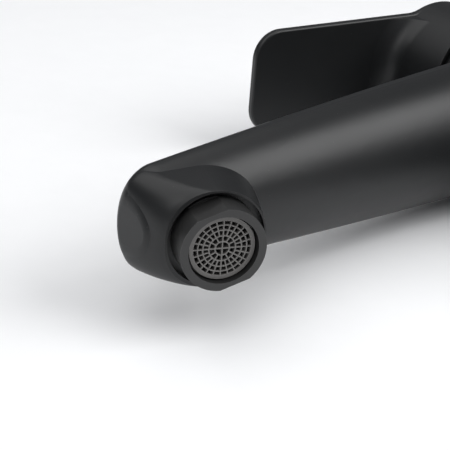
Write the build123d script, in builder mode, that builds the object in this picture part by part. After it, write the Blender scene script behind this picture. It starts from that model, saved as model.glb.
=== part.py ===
"""Single-lever basin mixer: drooping tapered spout, flat lever, ceramic-disc cartridge, deck clamp.

The origin is the centre of the deck face.  +Z is up, the spout points to -Y, and X is across.
"""

import os
from math import atan, cos, hypot, pi, radians, sin, sqrt, tan

from build123d import *

# ------------------------------------------------------------------ driving dimensions (mm)
# column
COLUMN_RADIUS = 26.0
COLUMN_TOP = 138.0
COLUMN_FLOOR = COLUMN_TOP - 64.0
COLUMN_CORE_RADIUS = COLUMN_RADIUS - 4.5
SPIGOT_STEP = 1.5
RIM_ROUND = 1.0
# spout
SPOUT_LENGTH = 184.0
SPOUT_ROOT_Z = COLUMN_TOP - 23.0
SPOUT_DROOP = 11.3
SPOUT_TIP_HALF_WIDTH = 15.2
SPOUT_MID_SWELL = 1.4
SPOUT_TIP_DEPTH = 12.6
SPOUT_ROOT_DEPTH = 21.0
SPOUT_TIP_CROWN = 6.0
SPOUT_ROOT_CROWN = 17.5
SPOUT_WALL = 3.0
SPOUT_ROOT_BLEND = 10.0
NOSE_PLAN_ROUND = 9.4
NOSE_FACE_ROUND = 3.6
NOSE_STEPS = 6
# outlet, measured outward along its own axis from the grid's face
OUTLET_FROM_TIP = 18.4
OUTLET_BELOW_TIP = 22.433
OUTLET_TILT = 11.5
HEAD_FACE = -5.2
HEAD_HEIGHT = 15.5
HEAD_SLOPE = 14.0
HEAD_BULGE = 1.25
HEAD_FLARE = 0.9
HEAD_FRONT = 22.0
HEAD_REAR_FLARE = 3.2
HEAD_FACE_ROUND = 1.5
HEAD_CORNER = 7.0
HEAD_STEPS = 5
RECESS_GAP = 1.8
RECESS_WALL = 0.5
RECESS_DEPTH = 2.8
CHAMBER_HEIGHT = 7.5
# aerator
AERATOR_RADIUS = 12.0
AERATOR_THREAD = 4.0
AERATOR_RIM = 1.6
AERATOR_WALL = 2.2
AERATOR_FLATS = 2 * AERATOR_RADIUS - 1.6
FLATS_TURN = 20.0
GRID_THICKNESS = 1.6
GRID_EDGE_GAP = 0.55
GRID_RIM = 0.95
GRID_LINE = 0.32
GRID_ROWS = [0.22, 0.405, 0.59, 0.75]
GRID_CELLS = [12, 24, 24, 24]
GRID_SPOKES = 4
INSERT_LENGTH = 8.0
INSERT_WALL = 1.3
JET_RADIUS = 0.8
JET_RING = 5.5
JET_COUNT = 12
SCREEN_HOLE = 0.5
SCREEN_ROWS = [(2.2, 8), (4.4, 16), (6.6, 24)]
GASKET_THICKNESS = 1.5
# cartridge, stacked upward from the seat
SEAT_Z = COLUMN_TOP - 32.0
CARTRIDGE_RADIUS = 17.4
CARTRIDGE_BASE = 6.0
FIXED_DISC_RADIUS = CARTRIDGE_RADIUS - 2.4
DISC_THICKNESS = 3.0
MOVING_DISC_RADIUS = 12.2
MOVING_DISC_THICKNESS = 3.5
MIXING_RADIUS = 7.8
MIXING_OFFSET = 2.2
MIXING_DEPTH = 1.8
CARRIER_RADIUS = 11.3
CARRIER_THICKNESS = 4.0
HOUSING_BORE = CARTRIDGE_RADIUS - 1.6
HOUSING_HEIGHT = 21.0
NECK_RADIUS = 14.0
NECK_HEIGHT = 6.0
TURRET_RADIUS = 10.9
TURRET_FLANGE = 3.5
TURRET_TOP = COLUMN_TOP + 5.5
LIMIT_RING = 3.0
LIMIT_TEETH = 20
LIMIT_TOOTH = 0.6
NUT_WASHER = 1.0
NUT_HEIGHT = 4.0
NUT_HEX_HEIGHT = 4.5
NUT_HEX_FLATS = 32.0
NUT_THREAD_RADIUS = CARTRIDGE_RADIUS + 1.6
# ports and seals
PORT_RADIUS = 2.1
PORT_X = 5.6
PORT_Y = -4.4
MIXED_PORT_Y = 6.4
MIXED_PORT_RADIUS = 2.9
CHANNEL_RADIUS = 3.2
CHANNEL_Z = SEAT_Z - 13.0
CHANNEL_REACH = 36.0
SEAL_THICKNESS = 1.4
SEAL_WIDTH = 1.2
# spindle
PIVOT_Z = COLUMN_TOP - 4.0
LIFT_TRAVEL = 25.0
PIN_RADIUS = 1.5
PIN_LENGTH = 20.0
BALL_RADIUS = 2.4
BALL_DROP = 12.2
SOCKET_DEPTH = 3.3
SHANK_RADIUS = 1.9
STEM_WIDTH = 7.6
STEM_TOP = 33.0
STEM_FOOT = 7.0
STEM_CHAMFER = 0.6
# dome and lever
DOME_RADIUS = COLUMN_RADIUS - 1.4
DOME_WALL = 2.0
DOME_HOLE = 13.0
DOME_GAP = 0.6
HUB_FRONT_Z = COLUMN_TOP + 1.6
HUB_REAR_Z = COLUMN_TOP + 14.0
BLADE_UNDERSIDE = COLUMN_TOP + 31.0
BLADE_THICKNESS = 3.6
BLADE_REACH = 88.0
BLADE_TIP_HALF_WIDTH = 20.3
BLADE_ROOT_HALF_WIDTH = COLUMN_RADIUS - 3.2
BLADE_CORNER = 11.0
BLADE_FLARE = 9.0
BLADE_TOP_ROUND = 1.4
BLADE_UNDER_ROUND = 0.9
BLADE_PLAN_BLEND = 14.0
GRUB_RADIUS = 2.5
GRUB_LENGTH = 9.5
GRUB_Z = COLUMN_TOP + 25.5
GRUB_KEY = 2.5
PLUG_RADIUS = 3.4
PLUG_LENGTH = 6.0
PLUG_SUNK = 0.4
# deck clamp
DECK_THICKNESS = 30.0
BASE_RING_RADIUS = COLUMN_RADIUS + 2.0
BASE_RING_TOP = 7.0
BASE_SEAL_THICKNESS = 2.5
BASE_RING_GAP = 0.6
STUD_RADIUS = 4.0
STUD_Y = 11.0
STUD_ENGAGEMENT = 14.0
STUD_BELOW = DECK_THICKNESS + 28.0
STUD_CHAMFER = 0.8
INLET_X = 10.0
INLET_Y = -4.0
INLET_THREAD_RADIUS = 4.5
INLET_THREAD_LENGTH = 12.0
HOSE_RADIUS = 6.2
CLAMP_RADIUS = COLUMN_RADIUS + 1.0
CLAMP_GASKET = 3.0
CLAMP_WASHER = 2.5
CLAMP_FRONT = 16.0
CLAMP_NUT_FLATS = 13.0
CLAMP_NUT_HEIGHT = 6.5
# clearances
RUNNING = 0.05
THREAD_GAP = 0.05
FIT_GAP = 0.10
SLIDE_GAP = 0.30

# ------------------------------------------------------------------ places worked out from the above
DROOP = radians(SPOUT_DROOP)
SPOUT_ALONG = Vector(0, cos(DROOP), sin(DROOP))
SPOUT_TIP = Vector(0, -SPOUT_LENGTH, SPOUT_ROOT_Z - SPOUT_LENGTH * tan(DROOP))
SPOUT_AXIS_LENGTH = SPOUT_LENGTH / cos(DROOP)
CORE_LENGTH = SPOUT_AXIS_LENGTH - COLUMN_RADIUS - SPOUT_WALL
TILT = radians(OUTLET_TILT)
OUTLET_PLANE = Plane(
    origin=SPOUT_TIP + Vector(0, OUTLET_FROM_TIP, -OUTLET_BELOW_TIP),
    x_dir=(1, 0, 0),
    z_dir=(0, -sin(TILT), -cos(TILT)),
)
RECESS_RADIUS = AERATOR_RADIUS + RECESS_GAP
HEAD_RADIUS = RECESS_RADIUS + RECESS_WALL
HEAD_HALF_WIDTH = HEAD_RADIUS + HEAD_FLARE
HEAD_BACK = HEAD_RADIUS + HEAD_REAR_FLARE
HEAD_FACE_CORNER = HEAD_RADIUS - HEAD_FACE_ROUND
RECESS_FLOOR = HEAD_FACE - RECESS_DEPTH
GASKET_OUT = RECESS_FLOOR - AERATOR_THREAD
GASKET_SEAT = GASKET_OUT - GASKET_THICKNESS
AERATOR_BORE = AERATOR_RADIUS - AERATOR_WALL
INSERT_RADIUS = AERATOR_BORE - FIT_GAP
GRID_RADIUS = INSERT_RADIUS - GRID_EDGE_GAP
GRID_RINGS = [GRID_RADIUS * share for share in GRID_ROWS]
INSERT_TOP = -GRID_THICKNESS - INSERT_LENGTH

DISC_Z = SEAT_Z + CARTRIDGE_BASE
MOVING_DISC_Z = DISC_Z + DISC_THICKNESS
CARRIER_Z = MOVING_DISC_Z + MOVING_DISC_THICKNESS
CARRIER_TOP = CARRIER_Z + CARRIER_THICKNESS
TURRET_Z = CARRIER_TOP + SLIDE_GAP
CAVITY_TOP = TURRET_Z + TURRET_FLANGE + SLIDE_GAP
SHOULDER_Z = DISC_Z + HOUSING_HEIGHT
NECK_TOP = SHOULDER_Z + NECK_HEIGHT
NUT_Z = SHOULDER_Z + NUT_WASHER

PIVOT = Vector(0, 0, PIVOT_Z)
HALF_LIFT = radians(LIFT_TRAVEL / 2)
BALL_OFFSET = BALL_DROP * sin(HALF_LIFT)
TURRET_SLOT = (TURRET_TOP - PIVOT_Z) * tan(HALF_LIFT) + STEM_WIDTH / 2 / cos(HALF_LIFT) + SLIDE_GAP
STEM_PLANE = Plane(origin=PIVOT, x_dir=(1, 0, 0), z_dir=(0, -sin(HALF_LIFT), cos(HALF_LIFT)))
PIN_PLANE = Plane(origin=(-PIN_LENGTH / 2, 0, PIVOT_Z), z_dir=(1, 0, 0))

HUB_TOP = BLADE_UNDERSIDE + BLADE_THICKNESS
HUB_SLOPE = atan((HUB_REAR_Z - HUB_FRONT_Z) / (2 * COLUMN_RADIUS))
HUB_SKIRT = Plane(
    origin=(0, 0, (HUB_FRONT_Z + HUB_REAR_Z) / 2),
    x_dir=(1, 0, 0),
    z_dir=(0, -sin(HUB_SLOPE), cos(HUB_SLOPE)),
)
GRUB_FOOT_Z = GRUB_Z - GRUB_RADIUS
GRUB_TIP = STEM_WIDTH / 2 / cos(HALF_LIFT) - (GRUB_FOOT_Z - PIVOT_Z) * tan(HALF_LIFT) + FIT_GAP
GRUB_PLANE = Plane(origin=(0, GRUB_TIP, GRUB_Z), x_dir=(1, 0, 0), z_dir=(0, 1, 0))
GRUB_HOLE = COLUMN_RADIUS - GRUB_TIP
PLUG_SEAT = GRUB_HOLE - PLUG_SUNK - PLUG_LENGTH

SPIGOT_RADIUS = COLUMN_RADIUS - SPIGOT_STEP
INLETS_X = [-INLET_X, INLET_X]
SEAT_PORTS = [
    (-PORT_X, PORT_Y, PORT_RADIUS),
    (PORT_X, PORT_Y, PORT_RADIUS),
    (0, MIXED_PORT_Y, MIXED_PORT_RADIUS),
]
GASKET_TOP = -DECK_THICKNESS
WASHER_TOP = GASKET_TOP - CLAMP_GASKET
CLAMP_NUT_TOP = WASHER_TOP - CLAMP_WASHER
STUD_TOP = COLUMN_FLOOR + STUD_ENGAGEMENT


# ------------------------------------------------------------------ shapes used more than once
def at(x, y, z):
    """Level plane with its origin at a point."""
    return Plane(origin=(x, y, z))


def disc(plane, radius, height, mode=Mode.ADD):
    """Round boss or bore standing on a plane; a negative height goes the other way."""
    with BuildSketch(plane) as outline:
        Circle(radius)
    extrude(outline.sketch, amount=height, mode=mode)


def ring(plane, outer, inner, height, mode=Mode.ADD):
    """Flat ring standing on a plane."""
    with BuildSketch(plane) as outline:
        Circle(outer)
        Circle(inner, mode=Mode.SUBTRACT)
    extrude(outline.sketch, amount=height, mode=mode)


def hexagon(plane, flats, hole, height):
    """Hexagon with a round hole, standing on a plane."""
    with BuildSketch(plane) as outline:
        RegularPolygon(flats / 2, 6, major_radius=False)
        Circle(hole, mode=Mode.SUBTRACT)
    extrude(outline.sketch, amount=height)


def bore_between(start, end, radius):
    """Cut a straight bore from one point to another."""
    run = end - start
    disc(Plane(origin=start, z_dir=run), radius, run.length, Mode.SUBTRACT)


def column_edges(part):
    """Free-form edges where the spout's faces cross the column's outside."""
    found = []
    for edge in part.edges().filter_by(GeomType.BSPLINE):
        points = [edge.position_at(share) for share in (0, 0.5, 1)]
        if all(abs(hypot(point.X, point.Y) - COLUMN_RADIUS) < RUNNING for point in points):
            found.append(edge)
    return found


def nose_loss(distance):
    """Share of the nose's round that is still missing at a distance from the tip."""
    if distance >= NOSE_PLAN_ROUND:
        return 0.0
    return 1 - sqrt(1 - (1 - distance / NOSE_PLAN_ROUND) ** 2)


def spout_half_width(distance):
    """Straight taper from the column to the tip, with a parabola's swell between them."""
    share = distance / SPOUT_AXIS_LENGTH
    straight = SPOUT_TIP_HALF_WIDTH + (COLUMN_RADIUS - SPOUT_TIP_HALF_WIDTH) * share
    return straight + 4 * SPOUT_MID_SWELL * share * (1 - share)


def spout_section(distance, inset):
    """Two half ellipses across the spout, deep below its axis and shallower above."""
    share = distance / SPOUT_AXIS_LENGTH
    missing = nose_loss(distance)
    width = spout_half_width(distance) - inset - NOSE_PLAN_ROUND * missing
    loss = inset + NOSE_FACE_ROUND * missing
    depth = SPOUT_TIP_DEPTH + (SPOUT_ROOT_DEPTH - SPOUT_TIP_DEPTH) * share - loss
    crown = SPOUT_TIP_CROWN + (SPOUT_ROOT_CROWN - SPOUT_TIP_CROWN) * share - loss
    plane = Plane(origin=SPOUT_TIP + SPOUT_ALONG * distance, x_dir=(1, 0, 0), z_dir=SPOUT_ALONG)
    with BuildSketch(plane) as section:
        with BuildLine():
            EllipticalCenterArc((0, 0), width, depth, start_angle=0, arc_size=180)
            EllipticalCenterArc((0, 0), width, crown, start_angle=180, arc_size=180)
        make_face()
    return section.sketch


def head_section(height):
    """Outline of the head above its face: a half ellipse behind the outlet, a blunt rounded front."""
    share = min(height / HEAD_SLOPE, 1.0)
    swell = (1 - (1 - share) ** HEAD_BULGE) ** (1 / HEAD_BULGE)
    half_width = HEAD_RADIUS + (HEAD_HALF_WIDTH - HEAD_RADIUS) * swell
    front = HEAD_RADIUS + (HEAD_FRONT - HEAD_RADIUS) * swell
    back = HEAD_RADIUS + (HEAD_BACK - HEAD_RADIUS) * height / HEAD_HEIGHT
    corner = HEAD_FACE_CORNER + (HEAD_CORNER - HEAD_FACE_CORNER) * swell
    flat = half_width - corner
    with BuildSketch(OUTLET_PLANE.offset(HEAD_FACE - height)) as section:
        with BuildLine():
            EllipticalCenterArc((0, 0), half_width, back, start_angle=180, arc_size=180)
            Line((half_width, 0), (half_width, front - corner))
            CenterArc((flat, front - corner), corner, 0, 90)
            Line((flat, front), (-flat, front))
            CenterArc((-flat, front - corner), corner, 90, 90)
            Line((-half_width, front - corner), (-half_width, 0))
        make_face()
    return section.sketch


def horseshoe(top, thickness):
    """Open-fronted clamp plate: the stud passes its back and the hoses its slot."""
    with BuildSketch(at(0, 0, top - thickness)) as outline:
        Circle(CLAMP_RADIUS)
        with Locations((0, INLET_Y)):
            SlotOverall(2 * (INLET_X + HOSE_RADIUS), 2 * HOSE_RADIUS, mode=Mode.SUBTRACT)
            Rectangle(
                2 * (INLET_X + HOSE_RADIUS),
                CLAMP_RADIUS,
                align=(Align.CENTER, Align.MAX),
                mode=Mode.SUBTRACT,
            )
        with Locations((0, -CLAMP_FRONT)):
            Rectangle(2 * CLAMP_RADIUS, CLAMP_RADIUS, align=(Align.CENTER, Align.MAX), mode=Mode.SUBTRACT)
        with Locations((0, STUD_Y)):
            Circle(STUD_RADIUS + SLIDE_GAP, mode=Mode.SUBTRACT)
    extrude(outline.sketch, amount=thickness)


def blade_outline(inset):
    """Plan of the lever: hub circle and rounded blade, joined by concave blends."""
    with BuildSketch() as outline:
        Polygon(
            (-BLADE_ROOT_HALF_WIDTH, 0),
            (-BLADE_TIP_HALF_WIDTH, -BLADE_REACH),
            (BLADE_TIP_HALF_WIDTH, -BLADE_REACH),
            (BLADE_ROOT_HALF_WIDTH, 0),
            align=None,
        )
        fillet(outline.vertices().group_by(Axis.Y)[0], BLADE_CORNER)
        Circle(COLUMN_RADIUS)
        waist = [vertex for vertex in outline.vertices() if -COLUMN_RADIUS < vertex.Y < -1]
        fillet(waist, BLADE_PLAN_BLEND)
        if inset:
            offset(amount=-inset)
    return outline.sketch


def save(part, name):
    """Label a piece and write it to its own file."""
    part.label = name
    export_step(part, f"parts/{name}.step")


os.makedirs("parts", exist_ok=True)

# ------------------------------------------------------------------ body: column, spout and waterways
with BuildPart() as body:
    disc(at(0, 0, BASE_SEAL_THICKNESS), COLUMN_RADIUS, COLUMN_TOP - BASE_SEAL_THICKNESS)
    fillet(body.edges().sort_by(Axis.Z)[-1], RIM_ROUND)
    nose_turns = [pi / 2 * step / NOSE_STEPS for step in range(NOSE_STEPS + 1)]
    loft([spout_section(NOSE_PLAN_ROUND * (1 - cos(turn)), 0) for turn in nose_turns])
    stations = [NOSE_PLAN_ROUND, SPOUT_AXIS_LENGTH / 2, SPOUT_AXIS_LENGTH]
    loft([spout_section(station, 0) for station in stations])
    fillet(column_edges(body), SPOUT_ROOT_BLEND)
    head_heights = [HEAD_SLOPE * step / HEAD_STEPS for step in range(HEAD_STEPS + 1)]
    loft([head_section(height) for height in head_heights + [HEAD_HEIGHT]])
    # open core above the deck, and the step that the base ring fits round
    disc(at(0, 0, 0), COLUMN_CORE_RADIUS, COLUMN_FLOOR, Mode.SUBTRACT)
    ring(at(0, 0, 0), COLUMN_RADIUS + 1, SPIGOT_RADIUS, BASE_RING_TOP, Mode.SUBTRACT)
    # cartridge seat from the top, with the wider thread for its nut
    disc(at(0, 0, SEAT_Z), CARTRIDGE_RADIUS + FIT_GAP, COLUMN_TOP - SEAT_Z, Mode.SUBTRACT)
    disc(at(0, 0, SHOULDER_Z), NUT_THREAD_RADIUS, COLUMN_TOP - SHOULDER_Z, Mode.SUBTRACT)
    # hot and cold ways: the hose's thread, then a slanted bore to the seat
    for inlet_x, (port_x, port_y, radius) in zip(INLETS_X, SEAT_PORTS):
        disc(at(inlet_x, INLET_Y, COLUMN_FLOOR), INLET_THREAD_RADIUS, INLET_THREAD_LENGTH, Mode.SUBTRACT)
        thread_end = Vector(inlet_x, INLET_Y, COLUMN_FLOOR + INLET_THREAD_LENGTH)
        bore_between(thread_end, Vector(port_x, port_y, SEAT_Z), radius)
    # mixed way: down from the seat, forward between the inlets, into the spout's core
    disc(at(0, MIXED_PORT_Y, CHANNEL_Z), MIXED_PORT_RADIUS, SEAT_Z - CHANNEL_Z, Mode.SUBTRACT)
    channel_back = Vector(0, MIXED_PORT_Y + CHANNEL_RADIUS, CHANNEL_Z)
    bore_between(channel_back, Vector(0, -CHANNEL_REACH, CHANNEL_Z), CHANNEL_RADIUS)
    core_stations = [NOSE_PLAN_ROUND, CORE_LENGTH / 2, CORE_LENGTH]
    loft([spout_section(station, SPOUT_WALL) for station in core_stations], mode=Mode.SUBTRACT)
    # aerator: chamber, gasket seat and thread, recess
    gasket_plane = OUTLET_PLANE.offset(GASKET_SEAT)
    disc(gasket_plane, AERATOR_BORE, -CHAMBER_HEIGHT, Mode.SUBTRACT)
    disc(gasket_plane, AERATOR_RADIUS + THREAD_GAP, RECESS_FLOOR - GASKET_SEAT, Mode.SUBTRACT)
    disc(OUTLET_PLANE.offset(RECESS_FLOOR), RECESS_RADIUS, RECESS_DEPTH + HEAD_RADIUS, Mode.SUBTRACT)
    disc(at(0, STUD_Y, COLUMN_FLOOR), STUD_RADIUS + THREAD_GAP, STUD_ENGAGEMENT, Mode.SUBTRACT)
save(body.part, "body")

# ------------------------------------------------------------------ deck clamp
with BuildPart() as base_ring:
    ring_height = BASE_RING_TOP - BASE_RING_GAP
    ring(at(0, 0, BASE_RING_GAP), BASE_RING_RADIUS, SPIGOT_RADIUS + FIT_GAP, ring_height)
    top_edges = base_ring.edges().group_by(Axis.Z)[-1]
    fillet(top_edges.sort_by(SortBy.RADIUS)[-1], RIM_ROUND)
save(base_ring.part, "base_ring")

with BuildPart() as base_seal:
    disc(at(0, 0, 0), SPIGOT_RADIUS, BASE_SEAL_THICKNESS)
    for inlet_x in INLETS_X:
        disc(at(inlet_x, INLET_Y, 0), HOSE_RADIUS, BASE_SEAL_THICKNESS, Mode.SUBTRACT)
    disc(at(0, STUD_Y, 0), STUD_RADIUS + FIT_GAP, BASE_SEAL_THICKNESS, Mode.SUBTRACT)
save(base_seal.part, "base_seal")

with BuildPart() as mounting_stud:
    disc(at(0, STUD_Y, -STUD_BELOW), STUD_RADIUS, STUD_BELOW + STUD_TOP)
    chamfer(mounting_stud.edges().filter_by(GeomType.CIRCLE), STUD_CHAMFER)
save(mounting_stud.part, "mounting_stud")

with BuildPart() as horseshoe_gasket:
    horseshoe(GASKET_TOP, CLAMP_GASKET)
save(horseshoe_gasket.part, "horseshoe_gasket")

with BuildPart() as horseshoe_washer:
    horseshoe(WASHER_TOP, CLAMP_WASHER)
save(horseshoe_washer.part, "horseshoe_washer")

with BuildPart() as mounting_nut:
    nut_plane = at(0, STUD_Y, CLAMP_NUT_TOP - CLAMP_NUT_HEIGHT)
    hexagon(nut_plane, CLAMP_NUT_FLATS, STUD_RADIUS + RUNNING, CLAMP_NUT_HEIGHT)
save(mounting_nut.part, "mounting_nut")

# ------------------------------------------------------------------ cartridge, fixed pieces
with BuildPart() as port_seals:
    for x, y, radius in SEAT_PORTS:
        ring(at(x, y, SEAT_Z), radius + SEAL_WIDTH, radius, SEAL_THICKNESS)
save(port_seals.part, "port_seals")

with BuildPart() as cartridge_base:
    disc(at(0, 0, SEAT_Z), CARTRIDGE_RADIUS, CARTRIDGE_BASE)
    for x, y, radius in SEAT_PORTS:
        disc(at(x, y, SEAT_Z), radius, CARTRIDGE_BASE, Mode.SUBTRACT)
        disc(at(x, y, SEAT_Z), radius + SEAL_WIDTH, SEAL_THICKNESS, Mode.SUBTRACT)
        disc(at(x, y, DISC_Z), radius + SEAL_WIDTH, -SEAL_THICKNESS, Mode.SUBTRACT)
save(cartridge_base.part, "cartridge_base")

with BuildPart() as disc_seals:
    for x, y, radius in SEAT_PORTS:
        ring(at(x, y, DISC_Z - SEAL_THICKNESS), radius + SEAL_WIDTH, radius, SEAL_THICKNESS)
save(disc_seals.part, "disc_seals")

with BuildPart() as fixed_disc:
    disc(at(0, 0, DISC_Z), FIXED_DISC_RADIUS, DISC_THICKNESS)
    for x, y, radius in SEAT_PORTS:
        disc(at(x, y, DISC_Z), radius, DISC_THICKNESS, Mode.SUBTRACT)
save(fixed_disc.part, "fixed_disc")

with BuildPart() as cartridge_housing:
    disc(at(0, 0, DISC_Z), CARTRIDGE_RADIUS, HOUSING_HEIGHT)
    disc(at(0, 0, SHOULDER_Z), NECK_RADIUS, NECK_HEIGHT)
    disc(at(0, 0, DISC_Z), HOUSING_BORE, CAVITY_TOP - DISC_Z, Mode.SUBTRACT)
    disc(at(0, 0, DISC_Z), TURRET_RADIUS + RUNNING, NECK_TOP - DISC_Z, Mode.SUBTRACT)
save(cartridge_housing.part, "cartridge_housing")

with BuildPart() as limit_ring:
    ring(at(0, 0, NECK_TOP), NECK_RADIUS, TURRET_RADIUS + SLIDE_GAP, LIMIT_RING)
    with BuildSketch(at(0, 0, NECK_TOP)):
        with PolarLocations(NECK_RADIUS, LIMIT_TEETH):
            Circle(LIMIT_TOOTH)
    extrude(amount=LIMIT_RING, mode=Mode.SUBTRACT)
save(limit_ring.part, "limit_ring")

with BuildPart() as nut_washer:
    ring(at(0, 0, SHOULDER_Z), CARTRIDGE_RADIUS, NECK_RADIUS + FIT_GAP, NUT_WASHER)
save(nut_washer.part, "nut_washer")

with BuildPart() as cartridge_nut:
    ring(at(0, 0, NUT_Z), NUT_THREAD_RADIUS - THREAD_GAP, NECK_RADIUS + SLIDE_GAP, NUT_HEIGHT)
    hexagon(at(0, 0, NUT_Z + NUT_HEIGHT), NUT_HEX_FLATS, NECK_RADIUS + SLIDE_GAP, NUT_HEX_HEIGHT)
save(cartridge_nut.part, "cartridge_nut")

# ------------------------------------------------------------------ cartridge, moving pieces
with BuildPart() as moving_disc:
    disc(at(0, BALL_OFFSET, MOVING_DISC_Z), MOVING_DISC_RADIUS, MOVING_DISC_THICKNESS)
    disc(at(0, BALL_OFFSET + MIXING_OFFSET, MOVING_DISC_Z), MIXING_RADIUS, MIXING_DEPTH, Mode.SUBTRACT)
save(moving_disc.part, "moving_disc")

with BuildPart() as disc_carrier:
    disc(at(0, BALL_OFFSET, CARRIER_Z), CARRIER_RADIUS, CARRIER_THICKNESS)
    disc(at(0, BALL_OFFSET, CARRIER_TOP), BALL_RADIUS + RUNNING, -SOCKET_DEPTH, Mode.SUBTRACT)
save(disc_carrier.part, "disc_carrier")

with BuildPart() as swivel_turret:
    disc(at(0, 0, TURRET_Z), HOUSING_BORE - SLIDE_GAP, TURRET_FLANGE)
    disc(at(0, 0, TURRET_Z), TURRET_RADIUS, TURRET_TOP - TURRET_Z)
    with BuildSketch(at(0, 0, TURRET_Z)):
        Rectangle(STEM_WIDTH + 2 * SLIDE_GAP, 2 * TURRET_SLOT)
    extrude(amount=TURRET_TOP - TURRET_Z, mode=Mode.SUBTRACT)
    disc(PIN_PLANE, PIN_RADIUS + RUNNING, PIN_LENGTH, Mode.SUBTRACT)
save(swivel_turret.part, "swivel_turret")

with BuildPart() as pivot_pin:
    disc(PIN_PLANE, PIN_RADIUS, PIN_LENGTH)
save(pivot_pin.part, "pivot_pin")

with BuildPart() as spindle:
    with BuildSketch(STEM_PLANE.offset(-STEM_FOOT)):
        Rectangle(STEM_WIDTH, STEM_WIDTH)
    extrude(amount=STEM_FOOT + STEM_TOP)
    chamfer(spindle.faces().sort_by(Axis.Z)[-1].edges(), STEM_CHAMFER)
    disc(STEM_PLANE.offset(-BALL_DROP), SHANK_RADIUS, BALL_DROP - STEM_FOOT)
    with Locations(STEM_PLANE.offset(-BALL_DROP)):
        Sphere(BALL_RADIUS)
    disc(PIN_PLANE, PIN_RADIUS + RUNNING, PIN_LENGTH, Mode.SUBTRACT)
save(spindle.part, "spindle")

# ------------------------------------------------------------------ dome cover and lever
with BuildPart() as dome_cover:
    with Locations(PIVOT):
        Sphere(DOME_RADIUS)
        Sphere(DOME_RADIUS - DOME_WALL, mode=Mode.SUBTRACT)
    split(bisect_by=at(0, 0, COLUMN_TOP), keep=Keep.TOP)
    disc(at(0, 0, COLUMN_TOP), DOME_HOLE, DOME_RADIUS, Mode.SUBTRACT)
save(dome_cover.part, "dome_cover")

with BuildPart() as blade_plate:
    extrude(at(0, 0, BLADE_UNDERSIDE) * blade_outline(0), amount=BLADE_THICKNESS)
    fillet(blade_plate.edges().group_by(Axis.Z)[-1], BLADE_TOP_ROUND)
    fillet(blade_plate.edges().group_by(Axis.Z)[0], BLADE_UNDER_ROUND)

with BuildPart() as blade_flare:
    # concave ring under the blade, kept only where the blade covers it
    flare_outer = COLUMN_RADIUS + BLADE_FLARE
    flare_bottom = BLADE_UNDERSIDE - BLADE_FLARE
    disc(at(0, 0, flare_bottom), flare_outer, BLADE_FLARE + BLADE_UNDER_ROUND)
    with BuildSketch(Plane.XZ) as flare_cut:
        with Locations((flare_outer, flare_bottom)):
            Circle(BLADE_FLARE)
    revolve(flare_cut.sketch, axis=Axis.Z, mode=Mode.SUBTRACT)
    extrude(blade_outline(BLADE_UNDER_ROUND), amount=HUB_TOP, mode=Mode.INTERSECT)

with BuildPart() as lever:
    disc(at(0, 0, HUB_FRONT_Z), COLUMN_RADIUS, HUB_TOP - BLADE_TOP_ROUND - HUB_FRONT_Z)
    split(bisect_by=HUB_SKIRT, keep=Keep.TOP)
    add(blade_flare.part)
    add(blade_plate.part)
    with Locations(PIVOT):
        Sphere(DOME_RADIUS + DOME_GAP, mode=Mode.SUBTRACT)
    with BuildSketch(STEM_PLANE):
        Rectangle(STEM_WIDTH + 2 * FIT_GAP, STEM_WIDTH + 2 * FIT_GAP)
    extrude(amount=STEM_TOP + SLIDE_GAP, mode=Mode.SUBTRACT)
    disc(GRUB_PLANE, GRUB_RADIUS + THREAD_GAP, GRUB_HOLE, Mode.SUBTRACT)
    disc(GRUB_PLANE.offset(PLUG_SEAT), PLUG_RADIUS + THREAD_GAP, GRUB_HOLE - PLUG_SEAT, Mode.SUBTRACT)
save(lever.part, "lever")

with BuildPart() as lever_screw:
    disc(GRUB_PLANE, GRUB_RADIUS, GRUB_LENGTH)
    with BuildSketch(GRUB_PLANE.offset(GRUB_LENGTH)):
        RegularPolygon(GRUB_KEY / 2, 6, major_radius=False)
    extrude(amount=-GRUB_KEY, mode=Mode.SUBTRACT)
save(lever_screw.part, "lever_screw")

with BuildPart() as screw_plug:
    disc(GRUB_PLANE.offset(PLUG_SEAT), PLUG_RADIUS, PLUG_LENGTH)
save(screw_plug.part, "screw_plug")

# ------------------------------------------------------------------ aerator
with BuildPart() as aerator_housing:
    ring(OUTLET_PLANE.offset(GASKET_OUT), AERATOR_RADIUS, AERATOR_BORE, AERATOR_RIM - GASKET_OUT)
    with BuildSketch(OUTLET_PLANE.offset(RECESS_FLOOR + 1)):
        with PolarLocations(AERATOR_FLATS / 2, 2, start_angle=FLATS_TURN):
            Rectangle(AERATOR_RADIUS, 2 * AERATOR_RADIUS, align=(Align.MIN, Align.CENTER))
    extrude(amount=AERATOR_RADIUS, mode=Mode.SUBTRACT)
save(aerator_housing.part, "aerator_housing")

with BuildPart() as aerator_grid:
    with BuildSketch(OUTLET_PLANE):
        Circle(GRID_RADIUS)
        row_ends = GRID_RINGS[1:] + [GRID_RADIUS - GRID_RIM]
        for inner, outer, cells in reversed(list(zip(GRID_RINGS, row_ends, GRID_CELLS))):
            Circle(outer - GRID_LINE / 2, mode=Mode.SUBTRACT)
            with PolarLocations((inner + outer) / 2, cells):
                Rectangle(outer - inner, GRID_LINE)
            Circle(inner + GRID_LINE / 2)
        Circle(GRID_RINGS[0] - GRID_LINE / 2, mode=Mode.SUBTRACT)
        with PolarLocations(GRID_RINGS[0] / 2, GRID_SPOKES):
            Rectangle(GRID_RINGS[0], GRID_LINE)
    extrude(amount=-GRID_THICKNESS)
save(aerator_grid.part, "aerator_grid")

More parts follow.
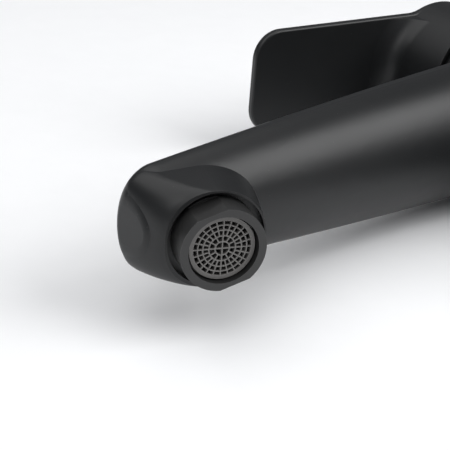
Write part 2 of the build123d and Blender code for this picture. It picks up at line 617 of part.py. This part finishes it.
with BuildPart() as aerator_insert:
    disc(OUTLET_PLANE.offset(INSERT_TOP), INSERT_RADIUS, INSERT_LENGTH)
    cup_floor = OUTLET_PLANE.offset(INSERT_TOP + INSERT_WALL)
    disc(cup_floor, INSERT_RADIUS - INSERT_WALL, INSERT_LENGTH, Mode.SUBTRACT)
    with BuildSketch(OUTLET_PLANE.offset(INSERT_TOP)):
        with PolarLocations(JET_RING, JET_COUNT):
            Circle(JET_RADIUS)
    extrude(amount=INSERT_WALL, mode=Mode.SUBTRACT)
save(aerator_insert.part, "aerator_insert")

with BuildPart() as aerator_screen:
    disc(OUTLET_PLANE.offset(GASKET_OUT), INSERT_RADIUS, INSERT_TOP - GASKET_OUT)
    with BuildSketch(OUTLET_PLANE.offset(GASKET_OUT)):
        for radius, holes in SCREEN_ROWS:
            with PolarLocations(radius, holes):
                Circle(SCREEN_HOLE)
    extrude(amount=INSERT_TOP - GASKET_OUT, mode=Mode.SUBTRACT)
save(aerator_screen.part, "aerator_screen")

with BuildPart() as aerator_gasket:
    ring(OUTLET_PLANE.offset(GASKET_SEAT), AERATOR_RADIUS, AERATOR_BORE, GASKET_THICKNESS)
save(aerator_gasket.part, "aerator_gasket")
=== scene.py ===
"""Finishes, sheet, lights and camera for the single-lever basin mixer.

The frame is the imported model's: metres, +Z up the column, the spout towards -Y.  The mixer lies on
its left side, so the pale sheet that carries it is a plane facing +X, and the camera is turned to match.
"""

import bpy
import numpy as np
from mathutils import Matrix, Vector

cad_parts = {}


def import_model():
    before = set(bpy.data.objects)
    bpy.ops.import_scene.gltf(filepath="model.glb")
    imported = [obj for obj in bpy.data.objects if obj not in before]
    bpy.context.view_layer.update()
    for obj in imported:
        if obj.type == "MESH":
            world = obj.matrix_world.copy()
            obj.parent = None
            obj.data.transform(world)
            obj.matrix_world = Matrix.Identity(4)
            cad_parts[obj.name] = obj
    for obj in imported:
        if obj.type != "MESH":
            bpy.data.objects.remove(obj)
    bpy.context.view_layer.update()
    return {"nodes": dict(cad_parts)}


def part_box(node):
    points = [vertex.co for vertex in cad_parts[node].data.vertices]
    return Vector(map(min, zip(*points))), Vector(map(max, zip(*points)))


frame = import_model()
NODES = frame["nodes"]

# ------------------------------------------------------------------ places taken from the frame
RING_LOW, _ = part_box("base_ring")
GRID_LOW, GRID_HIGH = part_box("aerator_grid")
OUTLET = (np.array(GRID_LOW) + np.array(GRID_HIGH)) / 2
SHEET_X = RING_LOW[0]

# ------------------------------------------------------------------ camera
CAMERA_PLACE = (0.1317, -0.3010, -0.1657)
CAMERA_RIGHT = (0.0705, 0.8678, -0.4918)
CAMERA_UP = (0.8985, 0.1589, 0.4092)
CAMERA_LENS = 88.0
SENSOR = 36.0


# ------------------------------------------------------------------ shader helpers
def new_material(name):
    """Material with an empty node tree; returns it, its Principled shader and a node maker."""
    material = bpy.data.materials.new(name)
    material.use_nodes = True
    tree = material.node_tree
    tree.nodes.clear()
    output = tree.nodes.new("ShaderNodeOutputMaterial")
    shader = tree.nodes.new("ShaderNodeBsdfPrincipled")
    tree.links.new(shader.outputs["BSDF"], output.inputs["Surface"])
    return material, tree, shader


def node(tree, kind, inputs=None, **settings):
    """Shader node with its settings; each input is a value or another node's output."""
    made = tree.nodes.new(kind)
    for key, value in settings.items():
        setattr(made, key, value)
    for key, value in (inputs or {}).items():
        if isinstance(value, bpy.types.NodeSocket):
            tree.links.new(value, made.inputs[key])
        else:
            made.inputs[key].default_value = value
    return made


def math(tree, operation, *values, clamp=False):
    """Output of a Math node on values or sockets."""
    made = node(tree, "ShaderNodeMath", dict(enumerate(values)), operation=operation, use_clamp=clamp)
    return made.outputs[0]


def new_group(name, inputs, outputs):
    """Node group with float inputs (name: default) and outputs (name: socket type)."""
    tree = bpy.data.node_groups.new(name, "ShaderNodeTree")
    for key, value in inputs.items():
        socket = tree.interface.new_socket(key, in_out="INPUT", socket_type="NodeSocketFloat")
        socket.default_value = value
    for key, kind in outputs.items():
        tree.interface.new_socket(key, in_out="OUTPUT", socket_type=kind)
    return tree, tree.nodes.new("NodeGroupInput"), tree.nodes.new("NodeGroupOutput")


def place(tree, group, **values):
    """A group placed in a material with its own values."""
    made = tree.nodes.new("ShaderNodeGroup")
    made.node_tree = group
    for key, value in values.items():
        made.inputs[key.replace("_", " ")].default_value = value
    return made


def coords(tree):
    """The piece's own coordinates, in metres."""
    return node(tree, "ShaderNodeTexCoord").outputs["Object"]


def noise(tree, place_at, scale, detail):
    """Strength of a noise at a place, from 0 to 1."""
    return node(
        tree, "ShaderNodeTexNoise", {"Vector": place_at, "Scale": scale, "Detail": detail}
    ).outputs["Fac"]


# ------------------------------------------------------------------ shared effects
SPECK_RADIUS = 0.09
SPECK_PATCHES = 160.0
SPECK_SHARE = 0.60


def coat_grain():
    """Fine pebbled skin of a sprayed coat, with broad drifts of gloss and a little dust."""
    tree, given, result = new_group(
        "coat_grain",
        {"Pebble scale": 3200.0, "Drift scale": 28.0, "Speck scale": 900.0},
        {"Height": "NodeSocketFloat", "Drift": "NodeSocketFloat", "Speck": "NodeSocketFloat"},
    )
    place_at = coords(tree)
    fine = noise(tree, place_at, given.outputs["Pebble scale"], 3.0)
    drift = noise(tree, place_at, given.outputs["Drift scale"], 4.0)
    speck = node(tree, "ShaderNodeTexVoronoi", {"Vector": place_at, "Scale": given.outputs["Speck scale"]})
    dots = math(tree, "LESS_THAN", speck.outputs["Distance"], SPECK_RADIUS)
    sparse = math(tree, "GREATER_THAN", noise(tree, place_at, SPECK_PATCHES, 2.0), SPECK_SHARE)
    tree.links.new(fine, result.inputs["Height"])
    tree.links.new(drift, result.inputs["Drift"])
    tree.links.new(math(tree, "MULTIPLY", dots, sparse), result.inputs["Speck"])
    return tree


def edge_wear():
    """Mask of rubbed corners: where a rounded normal parts from the true one, broken up by noise."""
    tree, given, result = new_group(
        "edge_wear", {"Radius": 0.0006, "Breakup": 420.0, "Strength": 6.0}, {"Mask": "NodeSocketFloat"}
    )
    geometry = node(tree, "ShaderNodeNewGeometry")
    rounded = node(tree, "ShaderNodeBevel", {"Radius": given.outputs["Radius"]}, samples=4)
    facing = node(
        tree,
        "ShaderNodeVectorMath",
        {0: geometry.outputs["Normal"], 1: rounded.outputs["Normal"]},
        operation="DOT_PRODUCT",
    )
    parted = math(tree, "SUBTRACT", 1.0, facing.outputs["Value"])
    broken = math(tree, "MULTIPLY", parted, noise(tree, coords(tree), given.outputs["Breakup"], 4.0))
    mask = math(tree, "MULTIPLY", broken, given.outputs["Strength"], clamp=True)
    tree.links.new(mask, result.inputs["Mask"])
    return tree


def turned_lines():
    """Fine tool lines along one axis, as a lathe or a die leaves, and the stain between them."""
    tree, given, result = new_group(
        "turned_lines",
        {"Line scale": 2500.0, "Stain scale": 60.0},
        {"Height": "NodeSocketFloat", "Stain": "NodeSocketFloat"},
    )
    split = node(tree, "ShaderNodeSeparateXYZ", {"Vector": coords(tree)})
    along = math(tree, "MULTIPLY", split.outputs["Z"], given.outputs["Line scale"])
    lines = node(tree, "ShaderNodeTexNoise", {"W": along, "Detail": 2.0}, noise_dimensions="1D")
    stain = noise(tree, coords(tree), given.outputs["Stain scale"], 5.0)
    tree.links.new(lines.outputs["Fac"], result.inputs["Height"])
    tree.links.new(stain, result.inputs["Stain"])
    return tree


GRAIN = coat_grain()
WEAR = edge_wear()
LINES = turned_lines()


def between(tree, value, low, high):
    """Value from 0 to 1 carried to low..high."""
    return node(
        tree, "ShaderNodeMapRange", {"Value": value, "To Min": low, "To Max": high}
    ).outputs["Result"]


def mixed(tree, share, first, second):
    """Colour between two colours, each a tuple or a socket."""
    made = node(tree, "ShaderNodeMix", data_type="RGBA")
    for index, value in ((0, share), (6, first), (7, second)):
        if isinstance(value, bpy.types.NodeSocket):
            tree.links.new(value, made.inputs[index])
        else:
            made.inputs[index].default_value = value
    return made.outputs[2]


def bump(tree, shader, height, strength, distance):
    """Bump from a height, fed to a shader's normal."""
    made = node(tree, "ShaderNodeBump", {"Height": height, "Strength": strength, "Distance": distance})
    tree.links.new(made.outputs["Normal"], shader.inputs["Normal"])


def grey(value, warmth=0.0):
    """Neutral colour, turned a share towards red and away from blue."""
    return (value * (1 + warmth), value, value * (1 - warmth), 1.0)


# ------------------------------------------------------------------ finishes
COAT_DEEP = (0.0068, 0.0074, 0.0082, 1.0)
COAT_PALE = (0.0100, 0.0106, 0.0112, 1.0)


def black_coat():
    """Satin black sprayed coat: pebbled, a little uneven in gloss, thinner on the corners."""
    material, tree, shader = new_material("black_coat")
    grain = place(tree, GRAIN, Pebble_scale=2600.0, Drift_scale=22.0, Speck_scale=700.0)
    wear = place(tree, WEAR, Radius=0.0007, Breakup=500.0, Strength=3.0)
    base = mixed(tree, grain.outputs["Drift"], COAT_DEEP, COAT_PALE)
    worn = mixed(tree, wear.outputs["Mask"], base, grey(0.05, 0.02))
    dusty = mixed(tree, math(tree, "MULTIPLY", grain.outputs["Speck"], 0.25), worn, grey(0.16))
    tree.links.new(dusty, shader.inputs["Base Color"])
    tree.links.new(between(tree, grain.outputs["Drift"], 0.34, 0.44), shader.inputs["Roughness"])
    shader.inputs["Specular IOR Level"].default_value = 0.42
    bump(tree, shader, grain.outputs["Height"], 0.35, 0.00002)
    return material


def moulded(name, value, warmth, rough_low, rough_high, pebble, strength=0.25):
    """Moulded plastic or rubber: faint pebble, drifting gloss, paler rubbed corners."""
    material, tree, shader = new_material(name)
    grain = place(tree, GRAIN, Pebble_scale=pebble, Drift_scale=90.0, Speck_scale=1400.0)
    wear = place(tree, WEAR, Radius=0.0003, Breakup=900.0, Strength=4.0)
    base = mixed(tree, grain.outputs["Drift"], grey(value * 0.88, warmth), grey(value * 1.12, warmth))
    worn = mixed(tree, wear.outputs["Mask"], base, grey(min(value * 1.9 + 0.02, 0.9), warmth))
    tree.links.new(worn, shader.inputs["Base Color"])
    roughness = between(tree, grain.outputs["Drift"], rough_low, rough_high)
    tree.links.new(roughness, shader.inputs["Roughness"])
    bump(tree, shader, grain.outputs["Height"], strength, 0.00003)
    return material


def machined(name, colour, stained, rough_low, rough_high):
    """Turned metal: tool lines, stain in the low places and brighter corners."""
    material, tree, shader = new_material(name)
    lines = place(tree, LINES, Line_scale=2600.0, Stain_scale=70.0)
    wear = place(tree, WEAR, Radius=0.0003, Breakup=600.0, Strength=6.0)
    base = mixed(tree, lines.outputs["Stain"], stained, colour)
    worn = mixed(tree, wear.outputs["Mask"], base, tuple(min(part * 1.2, 1.0) for part in colour))
    tree.links.new(worn, shader.inputs["Base Color"])
    shader.inputs["Metallic"].default_value = 1.0
    roughness = between(tree, lines.outputs["Stain"], rough_high, rough_low)
    tree.links.new(roughness, shader.inputs["Roughness"])
    bump(tree, shader, lines.outputs["Height"], 0.3, 0.00004)
    return material


FINISHES = {
    "black_coat": black_coat(),
    "aerator_black": moulded("aerator_black", 0.022, 0.0, 0.30, 0.42, 3600.0),
    "grid_plastic": moulded("grid_plastic", 0.13, 0.04, 0.42, 0.55, 4200.0),
    "black_plastic": moulded("black_plastic", 0.02, 0.0, 0.38, 0.52, 2600.0),
    "seal_rubber": moulded("seal_rubber", 0.016, 0.0, 0.70, 0.85, 1800.0, 0.5),
    "cartridge_plastic": moulded("cartridge_plastic", 0.62, 0.01, 0.35, 0.48, 2600.0),
    "ring_plastic": moulded("ring_plastic", 0.30, 0.02, 0.40, 0.52, 2600.0),
    "ceramic": moulded("ceramic", 0.78, 0.02, 0.12, 0.20, 1500.0, 0.05),
    "steel": machined("steel", (0.62, 0.61, 0.59, 1.0), (0.40, 0.39, 0.37, 1.0), 0.24, 0.42),
    "brass": machined("brass", (0.78, 0.58, 0.27, 1.0), (0.50, 0.34, 0.14, 1.0), 0.22, 0.40),
}
for part in NODES.values():
    for material_slot in part.material_slots:
        material_slot.material = FINISHES[material_slot.material.name.split(".")[0]]


# ------------------------------------------------------------------ pale sheet
def sheet_finish():
    """Matt white paper, seen from its face only."""
    material, tree, shader = new_material("sheet_white")
    fibre = noise(tree, coords(tree), 90.0, 6.0)
    tone = mixed(tree, fibre, (0.90, 0.905, 0.915, 1.0), (0.93, 0.935, 0.945, 1.0))
    tree.links.new(tone, shader.inputs["Base Color"])
    shader.inputs["Roughness"].default_value = 0.9
    shader.inputs["Specular IOR Level"].default_value = 0.1
    clear = node(tree, "ShaderNodeBsdfTransparent").outputs["BSDF"]
    back = node(tree, "ShaderNodeNewGeometry").outputs["Backfacing"]
    chosen = node(tree, "ShaderNodeMixShader", {0: back, 1: shader.outputs["BSDF"], 2: clear})
    output = next(made for made in tree.nodes if made.type == "OUTPUT_MATERIAL")
    tree.links.new(chosen.outputs["Shader"], output.inputs["Surface"])
    return material


def sheet(half_size):
    """Flat square facing +X, as wide as twice half_size, centred on the spout."""
    middle_y = OUTLET[1] / 2
    middle_z = OUTLET[2]
    corners = [
        (SHEET_X, middle_y - half_size, middle_z - half_size),
        (SHEET_X, middle_y + half_size, middle_z - half_size),
        (SHEET_X, middle_y + half_size, middle_z + half_size),
        (SHEET_X, middle_y - half_size, middle_z + half_size),
    ]
    mesh = bpy.data.meshes.new("sheet")
    mesh.from_pydata(corners, [], [(0, 1, 2, 3)])
    made = bpy.data.objects.new("sheet", mesh)
    bpy.context.scene.collection.objects.link(made)
    mesh.materials.append(sheet_finish())
    return made


SHEET_HALF_SIZE = 3.0
SHEET = sheet(SHEET_HALF_SIZE)


# ------------------------------------------------------------------ lights, camera, world
ROOM_GLOW = 0.15
BACKDROP_GLOW = 0.85
ROOM_COLOUR = (0.93, 0.95, 1.0, 1.0)
LIGHTS_AIM = Vector((0.0, OUTLET[1] / 2, 0.09))


def softbox(name, direction, distance, size, power):
    """Square area light that looks back at the spout from a direction; metres and watts."""
    away = Vector(direction).normalized()
    light = bpy.data.lights.new(name, "AREA")
    light.shape = "SQUARE"
    light.size = size
    light.energy = power
    made = bpy.data.objects.new(name, light)
    turn = away.to_track_quat("Z", "Y").to_matrix().to_4x4()
    made.matrix_world = Matrix.Translation(LIGHTS_AIM + away * distance) @ turn
    bpy.context.scene.collection.objects.link(made)
    return made


def camera():
    """Camera below and in front of the head, turned so that the sheet lies level."""
    right = Vector(CAMERA_RIGHT).normalized()
    up = Vector(CAMERA_UP).normalized()
    back = right.cross(up).normalized()
    up = back.cross(right)
    data = bpy.data.cameras.new("camera")
    data.lens = CAMERA_LENS
    data.sensor_width = SENSOR
    data.clip_start = 0.01
    made = bpy.data.objects.new("camera", data)
    turn = Matrix((right, up, back)).transposed().to_4x4()
    made.matrix_world = Matrix.Translation(Vector(CAMERA_PLACE)) @ turn
    bpy.context.scene.collection.objects.link(made)
    bpy.context.scene.camera = made


def world():
    """Even room glow, and a pale backdrop where the camera sees past the sheet."""
    made = bpy.data.worlds.new("studio")
    bpy.context.scene.world = made
    made.use_nodes = True
    tree = made.node_tree
    backdrop = tree.nodes["Background"]
    backdrop.inputs["Color"].default_value = ROOM_COLOUR
    seen = node(tree, "ShaderNodeLightPath").outputs["Is Camera Ray"]
    tree.links.new(between(tree, seen, ROOM_GLOW, BACKDROP_GLOW), backdrop.inputs["Strength"])


def past_sheet(light):
    """Let a light from behind the sheet reach the mixer, for views from that side."""
    blockers = bpy.data.collections.new(light.name + "_blockers")
    light.light_linking.blocker_collection = blockers
    blockers.objects.link(SHEET)
    blockers.collection_objects[0].light_linking.link_state = "EXCLUDE"


softbox("overhead_box", (0.62, 0.60, -0.50), 1.0, 0.75, 7.8)
softbox("ceiling_box", (1.0, -0.25, 0.15), 1.1, 1.7, 12.5)
softbox("front_box", (0.55, -0.75, -0.35), 1.2, 0.5, 1.6)
past_sheet(softbox("rear_box", (-0.43, 0.47, 0.77), 1.3, 0.5, 3.0))
camera()
world()
bpy.context.scene.view_settings.view_transform = "Standard"
